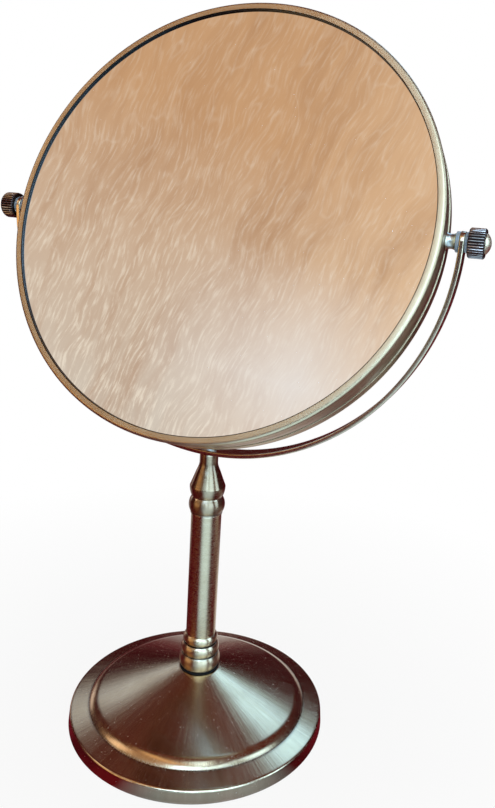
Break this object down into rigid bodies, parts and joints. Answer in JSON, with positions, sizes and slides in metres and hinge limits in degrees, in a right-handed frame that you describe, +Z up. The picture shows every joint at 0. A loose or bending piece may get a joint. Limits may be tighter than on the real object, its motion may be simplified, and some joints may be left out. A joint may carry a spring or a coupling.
{
  "type": "vanity mirror",
  "caption": "Round tilting vanity mirror in a half-ring yoke with knurled thumb knobs, on a turned post and a weighted round base, antique brass finish.",
  "frame": {"origin": "middle of the underside of the base pad, on the surface that the mirror stands on", "axes": "+Z up along the post, +X along the tilt axis to the right of someone facing the mirror, -Y the way the mirror faces"},
  "size_m": [0.2414, 0.1306, 0.352],
  "materials": {
    "brushed_bronze": "antique brass plating, brushed and lacquered",
    "satin_bronze": "antique brass plating, satin",
    "dark_bronze": "antique brass plating, darkened in the knurls",
    "polished_brass": "polished",
    "zinc_steel": "zinc plated",
    "cast_iron": "as cast, painted",
    "black_rubber": "matt",
    "black_foam": "closed-cell foam",
    "clear_nylon": "milky translucent",
    "grey_board": "pressed board",
    "mirror_glass": "silvered glass"
  },
  "bodies": {
    "stand": {"base_shell": "brushed_bronze", "base_weight": "cast_iron", "base_pad": "black_foam", "base_washer": "zinc_steel", "base_nut": "zinc_steel", "tie_rod": "zinc_steel", "foot_gasket": "black_rubber", "post_collar": "satin_bronze", "post_tube": "brushed_bronze", "post_bead": "satin_bronze", "finial_neck": "satin_bronze", "yoke": "satin_bronze", "yoke_screw": "zinc_steel"},
    "head": {"head_band": "satin_bronze", "front_bezel": "satin_bronze", "rear_bezel": "satin_bronze", "plane_glass": "mirror_glass", "magnifying_glass": "mirror_glass", "glass_spacer": "grey_board", "pivot_stud_right": "satin_bronze", "pivot_stud_left": "satin_bronze", "inner_washer_right": "clear_nylon", "inner_washer_left": "clear_nylon"},
    "right_washer": {"outer_washer_right": "clear_nylon"},
    "right_knob": {"knob_right": "dark_bronze", "knob_cap_right": "polished_brass"},
    "left_washer": {"outer_washer_left": "clear_nylon"},
    "left_knob": {"knob_left": "dark_bronze", "knob_cap_left": "polished_brass"}
  },
  "joints": [
    {"name": "head_tilt", "type": "hinge", "parent": "stand", "child": "head", "pos_m": [0, 0, 0.25305], "axis": [1, 0, 0], "continuous": true},
    {"name": "right_knob_travel", "type": "slide", "parent": "head", "child": "right_washer", "axis": [1, 0, 0], "range_m": [0, 0.0007]},
    {"name": "right_knob_turn", "type": "hinge", "parent": "right_washer", "child": "right_knob", "pos_m": [0.115, 0, 0.25305], "axis": [1, 0, 0], "range_deg": [0, 360]},
    {"name": "left_knob_travel", "type": "slide", "parent": "head", "child": "left_washer", "axis": [-1, 0, 0], "range_m": [0, 0.0007]},
    {"name": "left_knob_turn", "type": "hinge", "parent": "left_washer", "child": "left_knob", "pos_m": [-0.115, 0, 0.25305], "axis": [-1, 0, 0], "range_deg": [0, 360]}
  ],
  "couplings": [
    {"joint": "right_knob_travel", "follows": "right_knob_turn", "m_per_rad": 0.0001114},
    {"joint": "left_knob_travel", "follows": "left_knob_turn", "m_per_rad": 0.0001114}
  ]
}
